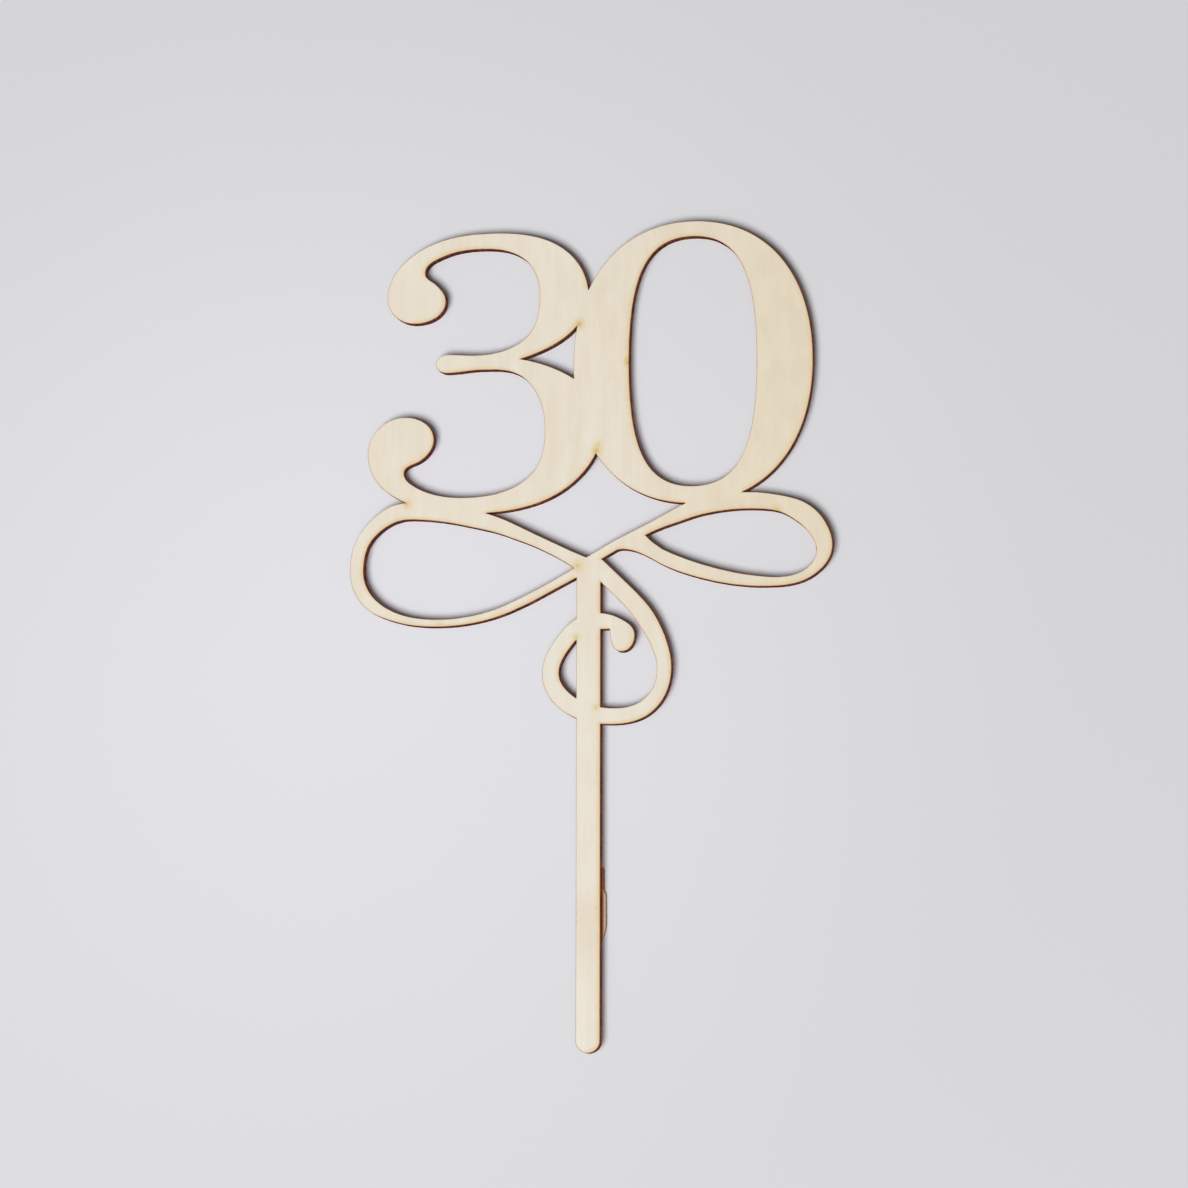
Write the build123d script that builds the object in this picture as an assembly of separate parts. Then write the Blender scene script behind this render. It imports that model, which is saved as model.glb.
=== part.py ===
"""Cake topper: the number 30 over a looped flourish and a pick, cut from one sheet of three-ply plywood.

Millimetres. Z runs up the pick from its tip, X to the right seen from the front, and the front faces -Y.
"""

from build123d import *
from build123d.topology import SkipClean

import os
from collections import Counter
from math import atan2, cos, degrees, hypot, pi, radians, sin, sqrt

# Sheet: face veneer, film of glue, core veneer, film of glue, back veneer.
face_veneer = 0.75
core_veneer = 1.30
glue_film = 0.10

# Pick: the round-ended stick, from its tip up to the crossing of the flourish.
pick_length = 119.0
pick_width = 6.0
pick_setback = 1.5  # the pick's square top end stays this far under the crossing

# Left loop of the flourish, from the crossing out to the left and back.
left_loop_reach = 60.0
left_loop_height = 31.0
left_loop_stroke = 4.0

# Right loop of the flourish, from the crossing out to the right and back.
right_loop_reach = 60.0
right_loop_height = 23.5
right_loop_stroke = 4.0

# Curl: the flourish's tail, which goes once round the pick and ends in a hook.
curl_width = 32.0
curl_height = 39.5
curl_stroke = 4.0

# Zero: an upright oval with heavy sides and thin ends, standing in the top of the right loop.
zero_width = 59.4
zero_height = 70.3
zero_side_stroke = 13.85
zero_top_stroke = 3.85
zero_foot_stroke = 4.25
zero_offset = 25.8  # pick axis to the zero's own axis
zero_seat = 2.4  # depth of the zero's foot in the right loop
start_mark_radius = 0.35  # nick where the beam began the zero's counter
start_mark_rise = 0.6  # nick above the middle of the counter

# Three: two open bowls with ball ends, grown into the side of the zero and the top of the left loop.
three_width = 58.75
three_height = 70.25
three_seat = 3.15  # depth of the three's foot in the left loop
digit_overlap = 7.1  # depth of the three's right side in the zero

# Splinter of the back veneer, torn out at the right edge of the pick.
splinter_foot = 26.5  # above the tip of the pick
splinter_length = 18.5
splinter_reach = 1.05
splinter_root = 0.6  # part of the splinter that lies within the pick


# Curves through knots. A knot is a place (x, z) and a heading in degrees, counted from +X towards +Z.
def handle_share(leaving, arriving):
    """Length of a curve's handle, as a share of its chord, that keeps the curve round."""
    swing = (sin(leaving) - sin(arriving) / 16) * (sin(arriving) - sin(leaving) / 16)
    top = 2 + sqrt(2) * swing * (cos(leaving) - cos(arriving))
    golden_share = (sqrt(5) - 1) / 2
    return top / (3 * (1 + golden_share * cos(leaving) + (1 - golden_share) * cos(arriving)))


def turned(angle):
    """The same angle in radians, within half a turn of zero."""
    return (angle + pi) % (2 * pi) - pi


def stretch(start, start_heading, end, end_heading):
    """One curve from start to end that leaves and arrives along the two headings."""
    (x0, z0), (x1, z1) = start, end
    chord = hypot(x1 - x0, z1 - z0)
    course = atan2(z1 - z0, x1 - x0)
    out, back = radians(start_heading), radians(end_heading)
    leaving, arriving = turned(out - course), turned(course - back)
    near = chord * handle_share(leaving, arriving)
    far = chord * handle_share(arriving, leaving)
    first = (x0 + near * cos(out), z0 + near * sin(out))
    second = (x1 - far * cos(back), z1 - far * sin(back))
    return Bezier(start, first, second, end)


def line_through(knots):
    """Curves through the knots in turn. A corner knot has two headings, arriving and leaving."""
    pairs = zip(knots[:-1], knots[1:])
    return [stretch(a[:2], a[-1], b[:2], b[2]) for a, b in pairs]


def blade(knots):
    """Face inside a closed line of knots."""
    return make_face(line_through(knots + knots[:1]))


def ribbon(knots, joint):
    """Faces of a pen stroke, whose knots are (x, z, heading, stroke width) along its middle.

    The stroke may cross itself, so it is two faces that meet at the knot with the number joint.
    """
    last = len(knots) - 1
    left, right = [], []
    for i, (x, z, heading, stroke) in enumerate(knots):
        before, after = knots[max(i - 1, 0)], knots[min(i + 1, last)]
        run = hypot(x - before[0], z - before[1]) + hypot(after[0] - x, after[1] - z)
        flare = degrees(atan2((after[3] - before[3]) / 2, run))
        aside, above = -sin(radians(heading)) * stroke / 2, cos(radians(heading)) * stroke / 2
        left.append((x + aside, z + above, heading + flare))
        right.append((x - aside, z - above, heading - flare))
    faces = []
    for first, final in ((0, joint), (joint, last)):
        span = slice(first, final + 1)
        ends = [Line(left[i][:2], right[i][:2]) for i in (first, final)]
        faces.append(make_face(line_through(left[span]) + line_through(right[span]) + ends))
    return faces


def oval(centre, half_width, half_height, fullness_share):
    """Face of an upright oval. Its handles are fullness_share of the half sizes."""
    x, z = centre
    tall, wide = fullness_share * half_height, fullness_share * half_width
    quarters = []
    for right in (1, -1):
        side = x + right * half_width
        for up in (1, -1):
            end = z + up * half_height
            quarters.append(Bezier((side, z), (side, z + up * tall), (x + right * wide, end), (x, end)))
    return make_face(quarters)


def placed(shares, corner, width, height, stroke=None):
    """Knots from rows of shares: x of the width, z of the height, and the stroke where a row has one."""
    rows = []
    for x_share, z_share, heading, *rest in shares:
        tail = rest if stroke is None else [rest[0] * stroke]
        rows.append((corner[0] + x_share * width, corner[1] + z_share * height, heading, *tail))
    return rows


crossing = (0.0, pick_length)

# Left loop: out along the thin lower side, round the end, and back over the top to the crossing.
left_crown_share = 0.468
left_crown_stroke_share = 1.07
left_loop_shares = [
    (0.000, 0.000, 208, 0.65),
    (-0.133, -0.139, 208, 0.55),
    (-0.267, -0.271, 205, 0.55),
    (-0.400, -0.374, 196.4, 0.50),
    (-0.617, -0.435, 180, 0.46),
    (-0.800, -0.385, 161, 0.54),
    (-0.915, -0.258, 134, 0.80),
    (-0.968, -0.006, 90, 0.86),
    (-0.922, 0.290, 50, 0.89),
    (-0.825, 0.439, 24, 1.04),
    (-0.725, left_crown_share, 358, left_crown_stroke_share),
    (-0.500, 0.406, 345.5, 1.10),
    (-0.333, 0.303, 336.2, 0.88),
    (-0.200, 0.187, 334, 0.71),
    (-0.083, 0.071, 331, 0.80),
    (0.017, -0.039, 328, 1.15),
]
left_loop_end = 7  # number of the knot furthest to the left
left_knots = placed(left_loop_shares, crossing, left_loop_reach, left_loop_height, left_loop_stroke)
left_loop = ribbon(left_knots, left_loop_end)

# Right loop: a small arch off the crossing, along the lower side, round the end and back over the top.
# A web fills the narrow corner where its two sides part.
right_crown_share = 0.643
right_crown_stroke_share = 1.04
right_loop_shares = [
    (0.068, 0.140, 31, 0.50),
    (0.142, 0.207, 0, 0.53),
    (0.300, 0.079, 332, 0.85),
    (0.467, -0.089, 343, 0.84),
    (0.667, -0.196, 353.6, 0.68),
    (0.783, -0.211, 2, 0.55),
    (0.910, -0.115, 37, 0.61),
    (0.968, 0.128, 90, 0.99),
    (0.942, 0.332, 121, 1.19),
    (0.876, 0.506, 146, 1.24),
    (0.788, 0.604, 166, 1.00),
    (0.667, right_crown_share, 178, right_crown_stroke_share),
    (0.533, 0.623, 188, 1.02),
    (0.400, 0.543, 202, 0.96),
    (0.267, 0.398, 205, 0.62),
    (0.133, 0.234, 207, 0.60),
    (-0.020, 0.014, 209, 0.60),
]
right_loop_end = 7  # number of the knot furthest to the right
right_knots = placed(right_loop_shares, crossing, right_loop_reach, right_loop_height, right_loop_stroke)
right_loop = ribbon(right_knots, right_loop_end)
web_shares = [
    (0.233, 0.310, 40, 309),
    (0.352, 0.085, 331, 180),
    (0.217, 0.140, 160, 140),
    (0.175, 0.255, 120, 40),
]
web = blade(placed(web_shares, crossing, right_loop_reach, right_loop_height))

# Curl: down the right of the pick, under it, up its left side and over to the hook on the right.
curl_shares = [
    (0.037, 0.015, 314.5, 1.05),
    (0.323, -0.216, 313.5, 1.10),
    (0.459, -0.358, 300, 1.14),
    (0.544, -0.496, 289.5, 1.01),
    (0.584, -0.633, 272, 0.91),
    (0.558, -0.770, 248.5, 0.89),
    (0.431, -0.896, 213, 0.96),
    (0.203, -0.943, 180, 0.99),
    (-0.187, -0.841, 139, 1.12),
    (-0.294, -0.671, 90, 1.05),
    (-0.242, -0.535, 58, 1.05),
    (-0.133, -0.421, 46, 1.05),
    (0.062, -0.349, 358, 0.97),
]
curl_foot = 7  # number of the lowest knot
curl = ribbon(placed(curl_shares, crossing, curl_width, curl_height, curl_stroke), curl_foot)
hook_shares = [
    (0.000, -0.401, 180, 90),
    (0.000, -0.296, 90, 0),
    (0.225, -0.328, 333),
    (0.358, -0.441, 270),
    (0.256, -0.542, 180),
    (0.173, -0.468, 97),
    (0.163, -0.401, 100, 180),
]
hook = blade(placed(hook_shares, crossing, curl_width, curl_height))

# Pick: a straight bar with a fully round lower end.
tip_radius = pick_width / 2
pick_top = pick_length - pick_setback
pick_middle = (tip_radius + pick_top) / 2
pick = Pos(0, pick_middle) * Rectangle(pick_width, pick_top - tip_radius)
pick += Pos(0, tip_radius) * Circle(tip_radius)

# Zero: the counter is fuller than the outside, so the sides are heavy for most of their height.
outside_fullness_share = 0.61
counter_fullness_share = 0.71
right_loop_top = (
    pick_length
    + right_crown_share * right_loop_height
    + right_crown_stroke_share * right_loop_stroke / 2
)
zero_base = right_loop_top - zero_seat
zero_middle = (zero_offset, zero_base + zero_height / 2)
zero = oval(zero_middle, zero_width / 2, zero_height / 2, outside_fullness_share)
counter_half_height = (zero_height - zero_top_stroke - zero_foot_stroke) / 2
counter_half_width = zero_width / 2 - zero_side_stroke
counter_middle = (zero_offset, zero_base + zero_foot_stroke + counter_half_height)
counter = oval(counter_middle, counter_half_width, counter_half_height, counter_fullness_share)
start_place = Pos(counter_middle[0] - counter_half_width, counter_middle[1] + start_mark_rise)
start_mark = start_place * Circle(start_mark_radius)

# Three: from the waist round the upper bowl, its ball end, the bar and the lower bowl, back to the waist.
three_shares = [
    (0.653, 0.546, 169, 16),
    (0.791, 0.591, 28),
    (0.889, 0.653, 48),
    (0.944, 0.762, 90),
    (0.878, 0.904, 132),
    (0.529, 1.000, 180),
    (0.265, 0.964, 203),
    (0.080, 0.776, 270),
    (0.202, 0.683, 0),
    (0.332, 0.762, 90),
    (0.292, 0.819, 134),
    (0.243, 0.863, 90),
    (0.333, 0.925, 21),
    (0.486, 0.944, 0),
    (0.670, 0.901, 320),
    (0.734, 0.769, 270),
    (0.673, 0.619, 221),
    (0.460, 0.564, 180),
    (0.341, 0.569, 180),
    (0.290, 0.535, 270),
    (0.341, 0.503, 0),
    (0.486, 0.511, 0),
    (0.670, 0.476, 319),
    (0.758, 0.292, 270),
    (0.700, 0.135, 226),
    (0.418, 0.058, 180),
    (0.195, 0.105, 147),
    (0.157, 0.149, 90),
    (0.227, 0.192, 34),
    (0.284, 0.266, 90),
    (0.157, 0.349, 180),
    (0.000, 0.221, 270),
    (0.089, 0.080, 325),
    (0.452, 0.000, 0),
    (0.877, 0.100, 40),
    (1.000, 0.292, 90),
    (0.869, 0.477, 148),
]
left_loop_top = (
    pick_length
    + left_crown_share * left_loop_height
    + left_crown_stroke_share * left_loop_stroke / 2
)
three_left = zero_offset - zero_width / 2 + digit_overlap - three_width
three = blade(placed(three_shares, (three_left, left_loop_top - three_seat), three_width, three_height))


def one_face(fragments):
    """One face from faces side by side. Its rims are the edges that only one of the faces has."""
    sides = [edge for face in fragments.faces() for edge in face.edges()]
    owners = Counter(sides)
    rims = Wire.combine([edge for edge in sides if owners[edge] == 1])
    outline, *holes = sorted(rims, key=lambda rim: rim.length, reverse=True)
    return Face(outline, holes)


# The whole cut-out. It is joined without cleaning, which would run the short curves into long ones.
with SkipClean():
    fragments = pick + left_loop + right_loop + curl + [web, hook, three, zero] - [counter, start_mark]
cut_out = one_face(fragments)

# Splinter: a ragged sliver along the pick's right edge, in the back veneer alone.
splinter_shares = [
    (0.52, 0.98),
    (0.55, 0.70),
    (0.95, 0.64),
    (1.00, 0.25),
    (0.55, 0.11),
]
torn_edge = [(x_share * splinter_reach, z_share * splinter_length) for x_share, z_share in splinter_shares]
rooted_edge = [(-splinter_root, 0), (-splinter_root, splinter_length), (0, splinter_length)]
splinter_outline = Polyline(*rooted_edge, *torn_edge, (0, 0), close=True)
splinter = Pos(pick_width / 2, splinter_foot) * make_face(splinter_outline)
with SkipClean():
    splintered = one_face(fragments + splinter)

# The sheet's layers, from the back to the front.
layers = [
    ("back_veneer", face_veneer, splintered),
    ("back_glue_line", glue_film, cut_out),
    ("core_veneer", core_veneer, cut_out),
    ("front_glue_line", glue_film, cut_out),
    ("front_veneer", face_veneer, cut_out),
]
sheet_thickness = sum(thickness for name, thickness, shape in layers)
os.makedirs("parts", exist_ok=True)
depth = -sheet_thickness / 2
for name, thickness, shape in layers:
    layer = extrude(Plane.XZ.offset(depth) * shape, amount=thickness, clean=False)
    export_step(layer, f"parts/{name}.step")
    depth += thickness
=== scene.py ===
import math

import bmesh
import bpy
import numpy as np
from mathutils import Matrix, Vector, geometry, kdtree


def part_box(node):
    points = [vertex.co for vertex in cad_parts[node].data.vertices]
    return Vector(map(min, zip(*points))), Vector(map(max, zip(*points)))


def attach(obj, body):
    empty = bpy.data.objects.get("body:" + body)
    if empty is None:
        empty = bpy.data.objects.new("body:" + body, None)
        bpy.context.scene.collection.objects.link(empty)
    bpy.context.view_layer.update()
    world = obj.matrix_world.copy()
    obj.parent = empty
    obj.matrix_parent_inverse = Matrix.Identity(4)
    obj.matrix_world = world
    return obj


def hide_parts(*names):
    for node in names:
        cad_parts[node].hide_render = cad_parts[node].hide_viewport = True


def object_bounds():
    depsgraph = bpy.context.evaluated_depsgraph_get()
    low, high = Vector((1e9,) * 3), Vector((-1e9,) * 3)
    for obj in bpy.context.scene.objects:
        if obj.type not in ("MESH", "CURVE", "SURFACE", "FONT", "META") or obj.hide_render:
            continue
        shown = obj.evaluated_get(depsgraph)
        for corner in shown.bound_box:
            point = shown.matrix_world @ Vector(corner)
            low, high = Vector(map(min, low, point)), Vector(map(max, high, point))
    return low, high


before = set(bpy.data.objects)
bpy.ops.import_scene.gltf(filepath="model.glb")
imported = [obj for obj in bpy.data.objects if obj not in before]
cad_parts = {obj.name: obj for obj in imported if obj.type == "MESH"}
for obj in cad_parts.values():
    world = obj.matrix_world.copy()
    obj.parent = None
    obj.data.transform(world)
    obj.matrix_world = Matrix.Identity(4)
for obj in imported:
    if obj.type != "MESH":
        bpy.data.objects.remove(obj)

cad_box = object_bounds()


# Back ply: the sheet of pale peeled wood that lies on the table, 0.75 mm thick, with its grain upright.
# The laser cut every layer along one line from the front, so this ply has the most smoke on its outer face.
# Beside the pick a sliver of it stayed on where the waste was broken away.
def cut_lines(node):
    """The closed lines round the front of a layer, in mm, with the wood to the left of each."""
    merged = bmesh.new()
    merged.from_mesh(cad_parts[node].data)
    bmesh.ops.remove_doubles(merged, verts=merged.verts, dist=1e-7)
    merged.normal_update()
    following = {}
    for face in merged.faces:
        for corner in face.loops:
            beside = corner.link_loop_radial_next.face
            if face.normal.y < -0.9 < beside.normal.y:
                following[corner.vert] = corner.link_loop_next.vert
    lines = []
    while following:
        vert, line = next(iter(following)), []
        while vert in following:
            line.append((vert.co.x * 1000, vert.co.z * 1000))
            vert = following.pop(vert)
        lines.append(np.array(line))
    merged.free()
    return lines


def flowing(line, spacing=0.36, shortest=0.12, longest_bend=3.2):
    """The line again with a point about every spacing, in mm: round in its bends, sharp at its corners.

    A step under the shortest is dropped, and one over the longest bend stays straight."""
    line = line[np.linalg.norm(line - np.roll(line, 1, 0), axis=1) > shortest]
    step = np.roll(line, -1, 0) - line
    length = np.linalg.norm(step, axis=1)
    heading = np.arctan2(step[:, 1], step[:, 0])
    turn = (heading - np.roll(heading, 1) + np.pi) % (2 * np.pi) - np.pi
    bend = np.abs(turn)
    # A corner turns by over 40 degrees, or by over 18 and much more than the points beside it.
    sharp = bend > 1.8 * np.maximum(np.roll(bend, 1), np.roll(bend, -1))
    corner = (bend > math.radians(40)) | (sharp & (bend > math.radians(18)))
    straight = length > longest_bend
    # The turn off a step's own heading, where the curve leaves its first point and arrives at its second.
    leave = -turn * length / (length + np.roll(length, 1))
    leave = np.where(np.roll(straight, 1), -turn, leave)
    arrive = np.roll(turn, -1) * length / (length + np.roll(length, -1))
    arrive = np.where(np.roll(straight, -1), np.roll(turn, -1), arrive)
    ends_sharp = np.roll(corner, -1)
    leave, arrive = (
        np.where(corner, np.where(ends_sharp, 0, -arrive), leave),
        np.where(ends_sharp, np.where(corner, 0, -leave), arrive),
    )
    leave, arrive = np.where(straight, 0, leave), np.where(straight, 0, arrive)
    points = []
    for i in range(len(line)):
        count = max(1, round(length[i] / spacing))
        out = length[i] * np.array((math.cos(heading[i] + leave[i]), math.sin(heading[i] + leave[i])))
        back = length[i] * np.array((math.cos(heading[i] + arrive[i]), math.sin(heading[i] + arrive[i])))
        for t in np.arange(count) / count:
            points.append(
                line[i]
                + step[i] * t * t * (3 - 2 * t)
                + out * t * (1 - t) ** 2
                - back * t * t * (1 - t)
            )
    return np.array(points)


def inward(line):
    """The way into the wood at each point of a line, longer at corners so that an inset stays even."""
    ahead = np.roll(line, -1, 0) - line
    ahead /= np.linalg.norm(ahead, axis=1)[:, None]
    both = ahead + np.roll(ahead, 1, 0)
    both /= np.linalg.norm(both, axis=1)[:, None]
    cosine = np.maximum((both * ahead).sum(1), 0.6)
    return np.stack((-both[:, 1], both[:, 0]), 1) / cosine[:, None]


class CutPlan:
    """A layer's outline with the points that fill it: close together along the cut, wide apart further in."""

    # Rows of points along the cut: how far in, in mm, and one point to how many of the outline's.
    rows = ((0.15, 1), (0.3, 1), (0.55, 2), (0.95, 2), (1.6, 4), (2.6, 4))

    def __init__(self, node):
        self.lines = [flowing(line) for line in cut_lines(node)]
        self.line = np.concatenate(self.lines)
        self.way_in = np.concatenate([inward(line) for line in self.lines])
        self.edges = []
        for line in self.lines:
            first = len(self.edges)
            self.edges += [(first + i, first + (i + 1) % len(line)) for i in range(len(line))]
        self.starts, self.ends = (self.line[ends] for ends in np.array(self.edges).T)
        per_edge = 4
        self.near = kdtree.KDTree(per_edge * len(self.line))
        for share in range(per_edge):
            for i, (x, z) in enumerate(self.starts + (self.ends - self.starts) * share / per_edge):
                self.near.insert((x, z, 0), i)
        self.near.balance()
        # Rows along the cut, one point to a cell, and then an even spread over what is left.
        taken, inner = set(), []
        for inset, every in self.rows:
            cell = 0.06 + 0.3 * inset
            for x, z in (self.line + self.way_in * inset)[::every]:
                spot = (inset, round(x / cell), round(z / cell))
                if spot not in taken and self.near.find((x, z, 0))[2] > 0.9 * inset:
                    taken.add(spot)
                    inner.append((x, z))
        pitch, clear_of_rows = 1.5, 3.3
        low, high = self.line.min(0), self.line.max(0)
        for row, z in enumerate(np.arange(low[1], high[1], pitch * 0.87)):
            for x in np.arange(low[0] + row % 2 * pitch / 2, high[0], pitch):
                if self.near.find((x, z, 0))[2] > clear_of_rows and self.in_wood(x, z):
                    inner.append((x, z))
        self.inner = np.array(inner)

    def in_wood(self, x, z):
        """Whether a line drawn from the left to this point crosses the outline an odd number of times."""
        crossed = (self.starts[:, 1] <= z) != (self.ends[:, 1] <= z)
        (x1, z1), (x2, z2) = self.starts[crossed].T, self.ends[crossed].T
        return (x1 + (z - z1) / (z2 - z1) * (x2 - x1) < x).sum() % 2 == 1

    def face(self, inset, filled):
        """Points and triangles of a flat face whose rim stands in from the cut line by inset.

        A triangle between points of the rim alone is kept if its middle lies in the wood."""
        points = self.line + self.way_in * inset
        if filled:
            points = np.concatenate((points, self.inner))
        made = geometry.delaunay_2d_cdt([Vector(point) for point in points], self.edges, [], 1, 1e-7)
        _, _, faces, sources, *_ = made
        first = [ids[0] for ids in sources]
        triangles = [[first[i] for i in face] for face in faces]
        rim = len(self.line)
        return points, [t for t in triangles if max(t) >= rim or self.in_wood(*points[t].mean(0))]


class Reading:
    """A value that changes over the wood, held as a node's socket, so that node maths reads as plain sums."""

    def __init__(self, tree, socket=None):
        self.tree, self.socket = tree, socket

    def node(self, kind, output=0, sockets=None, **settings):
        """Any node: its type, the output to read, the values or links of its sockets, and its settings."""
        made = self.tree.nodes.new(kind)
        for name, value in settings.items():
            setattr(made, name, value)
        for name, value in (sockets or {}).items():
            socket = made.inputs[name]
            if isinstance(value, Reading):
                self.tree.links.new(value.socket, socket)
            else:
                socket.default_value = (*value, 1) if socket.type == "RGBA" and len(value) == 3 else value
        return Reading(self.tree, made.outputs[output] if made.outputs else None)

    def other(self, output):
        """Another output of the same node."""
        return Reading(self.tree, self.socket.node.outputs[output])

    def math(self, operation, first, second):
        return self.node("ShaderNodeMath", operation=operation, sockets={0: first, 1: second})

    def __add__(self, other):
        return self.math("ADD", self, other)

    def __sub__(self, other):
        return self.math("SUBTRACT", self, other)

    def __rsub__(self, other):
        return self.math("SUBTRACT", other, self)

    def __mul__(self, other):
        return self.math("MULTIPLY", self, other)

    def __truediv__(self, other):
        return self.math("DIVIDE", self, other)

    def __rtruediv__(self, other):
        return self.math("DIVIDE", other, self)

    __radd__, __rmul__ = __add__, __mul__

    def between(self, low, high):
        """0 at low, 1 at high and soft at both ends; low may be the larger."""
        steps = {"Value": self, "From Min": low, "From Max": high}
        return self.node("ShaderNodeMapRange", interpolation_type="SMOOTHSTEP", sockets=steps)

    def tint(self, under, over):
        """The colour under, turned into over by this much."""
        colours = {0: self, 6: under, 7: over}
        return self.node("ShaderNodeMix", 2, data_type="RGBA", sockets=colours)

    def vector(self, operation, first, second):
        return self.node("ShaderNodeVectorMath", operation=operation, sockets={0: first, 1: second})


def cut_wall(name, depths):
    """Nodes that draw a layer's wall from the rim of one face to the other: worn, hollow and rippled.

    depths lists the wall's rows: how deep each lies, from 0 to 1, and its share of the edge wear."""
    tree = bpy.data.node_groups.new(name, "GeometryNodeTree")
    tree.interface.new_socket("Geometry", in_out="INPUT", socket_type="NodeSocketGeometry")
    for size in ("Thickness", "Edge Wear", "Hollow", "Ripple Depth", "Ripple Length", "Seed"):
        tree.interface.new_socket(size, in_out="INPUT", socket_type="NodeSocketFloat")
    tree.interface.new_socket("Wood", in_out="INPUT", socket_type="NodeSocketMaterial")
    tree.interface.new_socket("Geometry", in_out="OUTPUT", socket_type="NodeSocketGeometry")
    wall = Reading(tree).node("NodeGroupInput", "Geometry")
    thickness, wear, hollow = wall.other("Thickness"), wall.other("Edge Wear"), wall.other("Hollow")
    ripple, length, seed = wall.other("Ripple Depth"), wall.other("Ripple Length"), wall.other("Seed")
    wood = wall.other("Wood")
    attribute = "GeometryNodeInputNamedAttribute"
    line = wall.node(attribute, data_type="FLOAT_VECTOR", sockets={"Name": "cut_line"})
    inner = wall.node(attribute, data_type="FLOAT_VECTOR", sockets={"Name": "way_in"})
    outer = wall.node(attribute, data_type="FLOAT", sockets={"Name": "outer_face"})
    rim = outer * (2 - wall.node("GeometryNodeInputMeshEdgeNeighbors"))
    spread = wall.node("ShaderNodeVectorMath", operation="SCALE", sockets={0: line, "Scale": 1 / length})
    for depth, worn in depths:
        ripples = {"Vector": spread, "W": seed + 0.6 * depth, "Scale": 1, "Detail": 2}
        noise = wall.node("ShaderNodeTexNoise", noise_dimensions="4D", sockets=ripples)
        middle = 4 * depth * (1 - depth)
        inset = wear * worn + hollow * middle + ripple * noise.between(0.3, 0.8) * min(1, 2 * middle)
        shift = wall.node("ShaderNodeVectorMath", operation="SCALE", sockets={0: inner, "Scale": inset})
        down = wall.node("ShaderNodeCombineXYZ", sockets={"Y": thickness * depth})
        drawn = {"Mesh": wall, "Selection": rim, "Offset": (0, 0, 0)}
        wall = wall.node("GeometryNodeExtrudeMesh", mode="EDGES", sockets=drawn)
        rim = wall.other("Top")
        place = wall.vector("ADD", wall.vector("ADD", line, shift), down)
        moved = {"Geometry": wall, "Selection": rim, "Position": place}
        wall = wall.node("GeometryNodeSetPosition", sockets=moved)
    wall = wall.node("GeometryNodeMergeByDistance", sockets={"Geometry": wall, "Distance": 1e-6})
    wall = wall.node("GeometryNodeRealizeInstances", sockets={"Geometry": wall})
    wall = wall.node("GeometryNodeSetMaterial", sockets={"Geometry": wall, "Material": wood})
    wall.node("NodeGroupOutput", sockets={"Geometry": wall})
    return tree


def cut_layer(name, node, plan, filled, scorch, tree, wood, **sizes):
    """A layer of the sheet: two flat faces from the plan, joined by its wall, with its scorch as attributes.

    filled says which of the outer and the inner face show; the outer face is the one whose rim is worn.
    A thickness under 0 means that the outer face is the rear one."""
    wear = sizes["Edge Wear"] * 1000
    low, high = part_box(node)
    turned = sizes["Thickness"] < 0
    outer_y, inner_y = (high.y, low.y) if turned else (low.y, high.y)
    points, triangles = plan.face(wear, filled[0])
    count = len(points)
    inner_points, inner_triangles = plan.face(0, filled[1])
    flat = np.concatenate((points, inner_points))
    level = np.repeat((outer_y, inner_y), (count, len(inner_points)))
    triangles = [t[::-1] if turned else t for t in triangles]
    triangles += [[i + count for i in (t if turned else t[::-1])] for t in inner_triangles]
    mesh = bpy.data.meshes.new(name)
    mesh.from_pydata(np.stack((flat[:, 0] / 1000, level, flat[:, 1] / 1000), 1), [], triangles)
    line, way_in = np.zeros((len(flat), 3)), np.zeros((len(flat), 3))
    rim = len(plan.line)
    line[:rim] = np.stack((plan.line[:, 0] / 1000, np.full(rim, outer_y), plan.line[:, 1] / 1000), 1)
    way_in[:rim, [0, 2]] = plan.way_in
    readings = {"outer_face": np.arange(len(flat)) < count}
    readings["cut_distance"], readings["lee"] = scorch(plan, flat)
    for part in (slice(0, rim), slice(count, count + rim)):
        readings["cut_distance"][part] = 0
    for label, values in (("cut_line", line), ("way_in", way_in)):
        mesh.attributes.new(label, "FLOAT_VECTOR", "POINT").data.foreach_set("vector", values.ravel())
    for label, values in readings.items():
        mesh.attributes.new(label, "FLOAT", "POINT").data.foreach_set("value", np.array(values, float))
    piece = bpy.data.objects.new(name, mesh)
    bpy.context.collection.objects.link(piece)
    modifier = piece.modifiers.new("wall", "NODES")
    modifier.node_group = tree
    sizes["Wood"] = wood
    for item in tree.interface.items_tree:
        if item.in_out == "INPUT" and item.name in sizes:
            modifier[item.identifier] = sizes[item.name]
    graph = bpy.context.evaluated_depsgraph_get()
    made = bpy.data.meshes.new_from_object(piece.evaluated_get(graph))
    piece.modifiers.clear()
    piece.data = made
    for label in ("cut_line", "way_in", "outer_face"):
        made.attributes.remove(made.attributes[label])
    closed = bmesh.new()
    closed.from_mesh(made)
    bmesh.ops.recalc_face_normals(closed, faces=closed.faces)
    closed.to_mesh(made)
    closed.free()
    made.shade_smooth()
    made.set_sharp_from_angle(angle=math.radians(38))
    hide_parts(node)
    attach(piece, "root")
    return piece


def back_scorch(plan, points):
    """Distance to the cut in mm, and how open the edge lay to the fumes: here all round, from below.

    The sliver has less smoke, and its thin upper end is brown all over."""
    away = np.array([plan.near.find((x, z, 0))[2] for x, z in points])
    side, height = points.T
    lee = 0.62 + 0.3 * np.sin(side / 7.3) * np.sin(height / 9.1 + 1)
    sliver = (abs(side - 3.6) < 0.62) & (abs(height - 36) < 10)
    thin_end = sliver & (height > 39.6)
    lee[sliver] = 0.35
    away[thin_end] *= 0.12
    return away, lee


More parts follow.
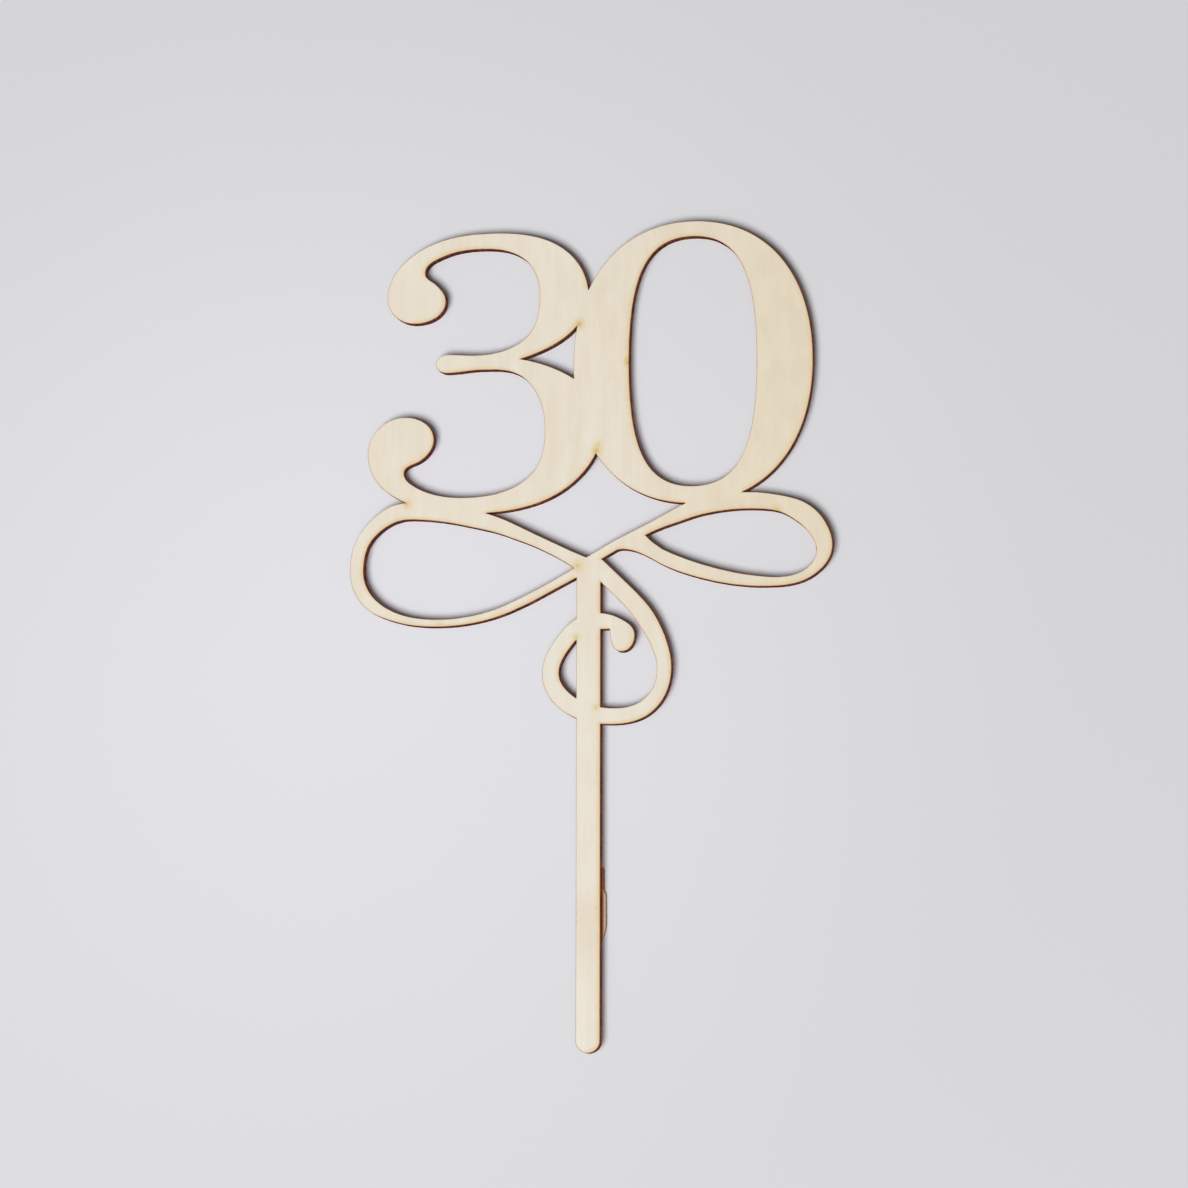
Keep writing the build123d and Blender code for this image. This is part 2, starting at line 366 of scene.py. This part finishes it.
def figure(wood, across, through, along, detail=2.0, sway=0.0, sheet=0.0):
    """Noise whose marks are about this many mm across, through and along the upright grain of one sheet."""
    place = wood.node("ShaderNodeTexCoord", "Object")
    spread = wood.vector("MULTIPLY", place, (1000 / across, 1000 / through, 1000 / along))
    marks = {"Vector": spread, "W": sheet, "Scale": 1, "Detail": detail, "Distortion": sway}
    return wood.node("ShaderNodeTexNoise", noise_dimensions="4D", sockets=marks)


def across_pick(wood):
    """How far a place lies to the right of the pick's middle, in metres; the node's others are Y and Z."""
    place = wood.node("ShaderNodeTexCoord", "Object")
    return wood.node("ShaderNodeSeparateXYZ", "X", sockets={0: place})


def torn_stretch(wood, start, full):
    """How far a place lies to the right, from start to full, on the stretch of the pick beside the sliver."""
    foot, top, fade, raggedness = 0.028, 0.052, 0.005, 0.007
    side = across_pick(wood)
    ragged = side.other("Z") + raggedness * figure(wood, 0.5, 0.4, 2.5, 3)
    return side.between(start, full) * ragged.between(foot, foot + fade) * ragged.between(top, top - fade)


def charred(wood, dark, brown, light):
    """Colour and relief of a burnt wall: dark lines straight through the sheet, and paler stretches."""
    lines = figure(wood, 0.5, 8, 0.5, 3)
    between = lines.between(0.34, 0.66)
    stretches = figure(wood, 6, 12, 6, 1).between(0.42, 0.72)
    colour = between.tint(dark, brown)
    colour = (between * stretches * 0.7).tint(colour, light)
    return colour, lines


def torn_wall(wood, colour, marks):
    """A wall's colour, redder beside the sliver, where the pick was broken off rather than burnt through."""
    dark_fibre, red_fibre = (0.19, 0.040, 0.011), (0.56, 0.155, 0.034)
    fibres = figure(wood, 0.3, 0.18, 3.5, 3)
    bare = fibres.between(0.36, 0.64).tint(dark_fibre, red_fibre)
    torn = torn_stretch(wood, 0.0018, 0.0026) * across_pick(wood).between(0.00330, 0.00312)
    return (torn * (0.3 + 0.9 * marks)).tint(colour, bare)


def finished(wood, colour, roughness, relief, depth):
    """The last nodes of a material: relief is a height of 0 to 1, depth its full size in metres."""
    bump = wood.node("ShaderNodeBump", sockets={"Strength": 1.0, "Distance": depth, "Height": relief})
    surface = {"Base Color": colour, "Roughness": roughness, "Normal": bump, "Specular IOR Level": 0.04}
    shader = wood.node("ShaderNodeBsdfPrincipled", sockets=surface)
    wood.node("ShaderNodeOutputMaterial", sockets={"Surface": shader})


def bare_tree(name):
    """A new material without nodes, and a reading to start them from."""
    material = bpy.data.materials.new(name)
    material.use_nodes = True
    material.node_tree.nodes.clear()
    return material, Reading(material.node_tree)


pale_wood, yellow_wood, pick_wood = (0.834, 0.776, 0.662), (0.808, 0.714, 0.548), (0.825, 0.780, 0.680)
band_wood, streak_wood, cloud_wood = (0.765, 0.670, 0.520), (0.745, 0.640, 0.480), (0.825, 0.715, 0.575)
patch_wood, fibre_wood, pore_wood = (0.750, 0.650, 0.490), (0.66, 0.55, 0.39), (0.52, 0.40, 0.26)
gripped_wood, sliver_wood, sliver_bounce_orange = (0.735, 0.620, 0.470), (0.66, 0.47, 0.29), (0.58, 0.19, 0.05)
halo_brown, rim_brown = (0.78, 0.575, 0.31), (0.37, 0.155, 0.065)
smoke_yellow, smoke_brown = (0.72, 0.54, 0.18), (0.46, 0.27, 0.075)
ply_char = (0.066, 0.010, 0.007), (0.275, 0.053, 0.027), (0.46, 0.130, 0.060)


def sanded_veneer(name, sheet, smoke_spots=()):
    """Pale peeled wood with soft bands and fine fibres, browned towards the cut and burnt on its wall."""
    material, wood = bare_tree(name)
    away = wood.node("ShaderNodeAttribute", "Fac", attribute_name="cut_distance")
    lee = wood.node("ShaderNodeAttribute", "Fac", attribute_name="lee")
    bands = figure(wood, 3.4, 9, 44, 2, 0.4, sheet)
    streaks = figure(wood, 0.9, 9, 16, 2, 0, sheet)
    fibres = figure(wood, 0.24, 3, 7, 2, 0, sheet)
    clouds = figure(wood, 11, 40, 26, 2, 0, sheet)
    pores = figure(wood, 0.2, 3, 2.4, 0, 0, sheet).between(0.77, 0.84)
    patches = figure(wood, 4.2, 40, 8, 3, 0.5, sheet)
    waver = figure(wood, 1.6, 3, 1.6, 2, 0, sheet)
    side = across_pick(wood)
    height = side.other("Z")
    # The wood's own colour: yellower to the right, paler down the pick, with its figure over it.
    yellower = side.between(-0.01, 0.055)
    pick = height.between(0.130, 0.075)
    colour = pick.tint(yellower.tint(pale_wood, yellow_wood), pick_wood)
    colour = (bands.between(0.32, 0.68) * (0.40 - 0.18 * pick)).tint(colour, band_wood)
    colour = (streaks.between(0.45, 0.75) * 0.24).tint(colour, streak_wood)
    colour = (clouds.between(0.4, 0.75) * (0.45 - 0.20 * pick)).tint(colour, cloud_wood)
    patchy = 0.22 + 0.30 * yellower - 0.10 * pick
    colour = (patches.between(0.4, 0.65) * patchy).tint(colour, patch_wood)
    colour = (fibres.between(0.5, 0.78) * 0.16).tint(colour, fibre_wood)
    colour = (pores * 0.16).tint(colour, pore_wood)
    # The pick: dull where it was gripped; the torn sliver browner, with painted warm bounce light along its
    # root in the shade of the pick's wall, but not behind.
    gripped = height.between(0.016, 0.028) * height.between(0.042, 0.034)
    colour = (gripped * (0.15 + 0.5 * clouds)).tint(colour, gripped_wood)
    colour = (torn_stretch(wood, 0.0029, 0.0032) * 0.6).tint(colour, sliver_wood)
    # Painted light: an orange band on the sliver along the foot of the pick's wall, where that wall's shadow
    # falls, painted as warm bounce light; the rear face is left out.
    root = torn_stretch(wood, 0.00288, 0.00294) * side.between(0.0037, 0.0031)
    not_behind = side.other("Y").between(0.0012, 0.0008)
    colour = (root * not_behind * 0.9).tint(colour, sliver_bounce_orange)
    # Smoke along the cut and at the spots, the brown rim, and the burnt wall.
    halo = (away / (0.3 + lee * (0.5 + 1.3 * waver))).between(1, 0)
    colour = (halo * (0.12 + 0.75 * lee)).tint(colour, halo_brown)
    place = wood.node("ShaderNodeTexCoord", "Object")
    for x, z, radius, strength in smoke_spots:
        spot = {0: place, 1: (x / 1000, cad_box[0].y, z / 1000)}
        distance = wood.node("ShaderNodeVectorMath", "Value", operation="DISTANCE", sockets=spot)
        spread = distance * (1000 / radius) + 0.8 * waver
        colour = (spread.between(3.0, 0.3) * (0.8 * strength)).tint(colour, smoke_yellow)
        colour = (spread.between(1.3, 0.4) * (0.4 * strength)).tint(colour, smoke_brown)
    rim = (away / (0.19 + 0.22 * lee * waver)).between(1, 0)
    colour = (rim * (0.4 + 0.5 * lee)).tint(colour, rim_brown)
    wall = away.between(0.035, 0.0)
    burnt, scored = charred(wood, *ply_char)
    colour = wall.tint(colour, torn_wall(wood, burnt, scored))
    roughness = 0.56 + 0.14 * fibres + 0.25 * wall
    relief = (0.5 * fibres - 0.5 * pores) * (1 - wall) + scored * wall
    finished(wood, colour, roughness, relief, depth=0.00003)
    return material


ply_wall = cut_wall("ply wall", ((0.03, 0.35), (0.09, 0), (0.25, 0), (0.5, 0), (0.75, 0), (0.92, 0), (1, 0)))
back_plan = CutPlan("back_veneer")
back_ply = cut_layer(
    "back_ply", "back_veneer", back_plan, (True, True), back_scorch, ply_wall,
    sanded_veneer("back_ply_wood", 7.0),
    **{
        "Thickness": -0.00075, "Edge Wear": 0.00005, "Hollow": 0.00001,
        "Ripple Depth": 0.00004, "Ripple Length": 0.0011, "Seed": 3.0,
    },
)


# Glue lines: the two films of cured glue that hold the plies together, a tenth of a millimetre thick.
# Pressed hot between the plies; the laser burnt them black, a little deeper than the face plies.
def sheltered(plan, points):
    """The scorch of a layer that shows only as part of the cut wall."""
    return np.zeros(len(points)), np.ones(len(points))


glue_black, glue_brown, crust_brown = (0.012, 0.008, 0.006), (0.055, 0.030, 0.018), (0.12, 0.065, 0.035)
burnt_glue, wood = bare_tree("burnt_glue")
beads = figure(wood, 0.35, 0.5, 0.35, 2)
crust = figure(wood, 3, 3, 3, 1)
colour = beads.between(0.35, 0.7).tint(glue_black, glue_brown)
colour = (crust.between(0.5, 0.8) * 0.6).tint(colour, crust_brown)
finished(wood, torn_wall(wood, colour, beads), 0.45 + 0.35 * beads, beads, depth=0.00002)

glue_wall = cut_wall("glue wall", ((0.5, 0), (1, 0)))
sheet_plan = CutPlan("front_veneer")
for name, node, seed in (("back_glue", "back_glue_line", 11.0), ("front_glue", "front_glue_line", 12.0)):
    glue = cut_layer(
        name, node, sheet_plan, (False, False), sheltered, glue_wall, burnt_glue,
        **{
            "Thickness": 0.0001, "Edge Wear": 0.0, "Hollow": 0.00003,
            "Ripple Depth": 0.00004, "Ripple Length": 0.0007, "Seed": seed,
        },
    )


# Core ply: the middle sheet, 1.3 mm of coarser wood laid with its grain across the plies outside it.
# It shows only at the cut wall, where the laser slowed in it and burnt it deepest.
core_char = (0.036, 0.005, 0.0035), (0.170, 0.028, 0.014), (0.30, 0.068, 0.032)
cell_black = (0.018, 0.010, 0.007)
burnt_core, wood = bare_tree("burnt_core")
colour, scored = charred(wood, *core_char)
cells = figure(wood, 0.9, 0.16, 0.22, 2)
open_cells = cells.between(0.56, 0.74)
colour = (open_cells * 0.7).tint(colour, cell_black)
colour = torn_wall(wood, colour, scored)
finished(wood, colour, 0.72 + 0.16 * cells, 0.6 * scored - 0.4 * open_cells, depth=0.00005)

core_wall = cut_wall("core wall", [(depth, 0) for depth in (0.06, 0.2, 0.35, 0.5, 0.65, 0.8, 0.94, 1)])
core_ply = cut_layer(
    "core_ply", "core_veneer", sheet_plan, (False, False), sheltered, core_wall, burnt_core,
    **{
        "Thickness": 0.0013, "Edge Wear": 0.0, "Hollow": 0.00003,
        "Ripple Depth": 0.00007, "Ripple Length": 0.0009, "Seed": 21.0,
    },
)


# Front ply: the sanded face that carries the number and the flourish, pale peeled wood with upright grain.
# The laser entered here; its fumes drew off to one side and browned the edges that lay that way,
# and it lingered where the line turns in a sharp corner, leaving a spot of smoke.
smoke_spots = (  # x, z and the radius of the dark middle in mm, and the strength
    (-2.5, 179.2, 0.95, 1.0), (1.85, 147.4, 0.9, 0.9), (-45.6, 135.3, 0.85, 0.8), (-2.8, 118.9, 1.0, 0.7),
    (-3.0, 101.4, 0.7, 0.7), (1.9, 84.0, 0.75, 0.55), (46.4, 131.2, 0.9, 0.9), (9.9, 170.2, 0.6, 0.8),
    (-37.2, 105.4, 0.8, 0.35), (-3.0, 31.6, 0.3, 0.5), (-3.0, 34.0, 0.35, 0.6), (-3.0, 36.6, 0.3, 0.4),
    (2.0, 35.0, 0.25, 0.5), (9.75, 169.2, 0.74, 1.15), (2.3, 149.1, 0.9, 0.35),
)


def soft_step(values, low, high):
    """0 up to low, 1 from high on and soft in between."""
    share = np.clip((values - low) / (high - low), 0, 1)
    return share * share * (3 - 2 * share)


def front_scorch(plan, points):
    """Distance to the cut in mm, and how open the edge lay to the fumes: most of all to the lower right."""
    found = [plan.near.find((x, z, 0)) for x, z in points]
    away = np.array([hit[2] for hit in found])
    way_out = -plan.way_in[[hit[1] for hit in found]]
    way_out /= np.linalg.norm(way_out, axis=1)[:, None]
    downwind = soft_step(way_out @ (0.8, -0.6), -0.25, 0.85)
    below = soft_step(way_out @ (-0.6, -0.8), 0.45, 0.95)
    return away, 0.12 + np.maximum(0.88 * downwind, 0.28 * below)


front_ply = cut_layer(
    "front_ply", "front_veneer", sheet_plan, (True, False), front_scorch, ply_wall,
    sanded_veneer("front_ply_wood", 0.0, smoke_spots),
    **{
        "Thickness": 0.00075, "Edge Wear": 0.00005, "Hollow": 0.00001,
        "Ripple Depth": 0.00004, "Ripple Length": 0.0011, "Seed": 5.0,
    },
)


# Table and light: the topper lies on its back on a pale matt table, which only shows from its front side and
# carries a painted pool of light, lighter and bluer to the left.
# Soft daylight falls on it from a large window, a little to the left and below, and three weaker windows
# behind the table light the back and the cut walls.
painted_light_tone, far_tone, far_level = (0.762, 0.764, 0.800), (0.685, 0.685, 0.700), 1.06
table_paint, table = bare_tree("pale_table")
path = table.node("ShaderNodeLightPath", "Is Camera Ray")
behind = table.node("ShaderNodeNewGeometry", "Backfacing")
place = table.node("ShaderNodeTexCoord", "Object")
from_tip = table.node("ShaderNodeVectorMath", "Value", operation="LENGTH", sockets={0: place})
shown = path * (1 - behind) * from_tip.between(0.75, 0.4)
mottle = figure(table, 60, 60, 60, 3)
# Painted light: the table's colour is lighter and bluer round a spot left of the topper's middle and fades to
# far_tone 0.2 m out, a painted pool of window light on top of the lamps' own light.
painted_light_middle = {0: place, 1: (-0.056, 0, 0.113)}
from_painted_light = table.node("ShaderNodeVectorMath", "Value", operation="DISTANCE", sockets=painted_light_middle)
tone = (from_painted_light.between(0, 0.20) + 0.08 * mottle).tint(painted_light_tone, far_tone)
matt = table.node("ShaderNodeBsdfDiffuse", sockets={"Color": tone})
clear = table.node("ShaderNodeBsdfTransparent")
surface = table.node("ShaderNodeMixShader", sockets={0: shown, 1: clear, 2: matt})
table.node("ShaderNodeOutputMaterial", sockets={"Surface": surface})
middle = (cad_box[0] + cad_box[1]) / 2
top = bpy.data.meshes.new("table")
reach, gap = 0.8, 0.00005
back = cad_box[1].y + gap
ends = ((-reach, -reach), (reach, -reach), (reach, reach), (-reach, reach))
corners = [(x, back, z + middle.z) for x, z in ends]
top.from_pydata(corners, [], [(0, 1, 2, 3)])
top.materials.append(table_paint)
table_top = bpy.data.objects.new("table", top)
bpy.context.collection.objects.link(table_top)

world = bpy.data.worlds.new("daylight")
world.use_nodes = True
world.node_tree.nodes.clear()
sky = Reading(world.node_tree)
seen = sky.node("ShaderNodeLightPath", "Is Camera Ray")
bright_way = Vector((-0.225, -0.88, -0.36)).normalized()
ray = sky.node("ShaderNodeTexCoord", "Generated")
facing = sky.node("ShaderNodeVectorMath", "Value", operation="DOT_PRODUCT", sockets={0: ray, 1: bright_way})
square = facing * facing
sky_level = 0.05 + 0.48 * square * square
light = sky.node("ShaderNodeBackground", sockets={"Color": (1, 1, 1), "Strength": sky_level})
pale = sky.node("ShaderNodeBackground", sockets={"Color": far_tone, "Strength": far_level})
surface = sky.node("ShaderNodeMixShader", sockets={0: seen, 1: light, 2: pale})
sky.node("ShaderNodeOutputWorld", sockets={"Surface": surface})
bpy.context.scene.world = world


def window(name, way, size, level):
    """A round soft lamp, 3 m away and size metres wide, that lights a surface turned to it to this level."""
    way = Vector(way).normalized()
    distance = 3.0
    lamp = bpy.data.lights.new(name, "AREA")
    lamp.shape, lamp.size = "DISK", size
    lamp.energy = math.pi ** 2 * level * distance ** 2
    lit = bpy.data.objects.new(name, lamp)
    lit.location = middle + way * distance
    lit.rotation_euler = (-way).to_track_quat("-Z", "Y").to_euler()
    bpy.context.collection.objects.link(lit)


window("window", bright_way, 1.7, 0.964)
window("window_behind", (0.25, 0.85, -0.20), 2.4, 0.58)
window("window_beside", (0.70, 0.40, 0.60), 2.0, 0.45)
window("window_above", (-0.70, 0.40, 0.60), 2.0, 0.40)


# Camera: held 1.2 m from the table, a little to the right of the topper and below its middle,
# so that the burnt walls show along the right and lower edges.
distance = 1.2
azimuth, elevation, roll = math.radians(9.82), math.radians(-8.00), math.radians(0.116)
aim = Vector((0.00134, -0.0015, 0.11190))
away = Vector((
    math.sin(azimuth) * math.cos(elevation), -math.cos(azimuth) * math.cos(elevation), math.sin(elevation),
))
right = (-away).cross(Vector((0, 0, 1))).normalized()
up = away.cross(right)
right, up = right * math.cos(roll) + up * math.sin(roll), up * math.cos(roll) - right * math.sin(roll)
eye = bpy.data.cameras.new("eye")
eye.lens, eye.sensor_width = 148.75, 36
eye.clip_start, eye.clip_end = 0.01, 50
camera = bpy.data.objects.new("eye", eye)
turned = Matrix((right, up, away)).transposed().to_4x4()
camera.matrix_world = Matrix.Translation(aim + away * distance) @ turned
bpy.context.collection.objects.link(camera)
bpy.context.scene.camera = camera
bpy.context.scene.view_settings.view_transform = "Standard"
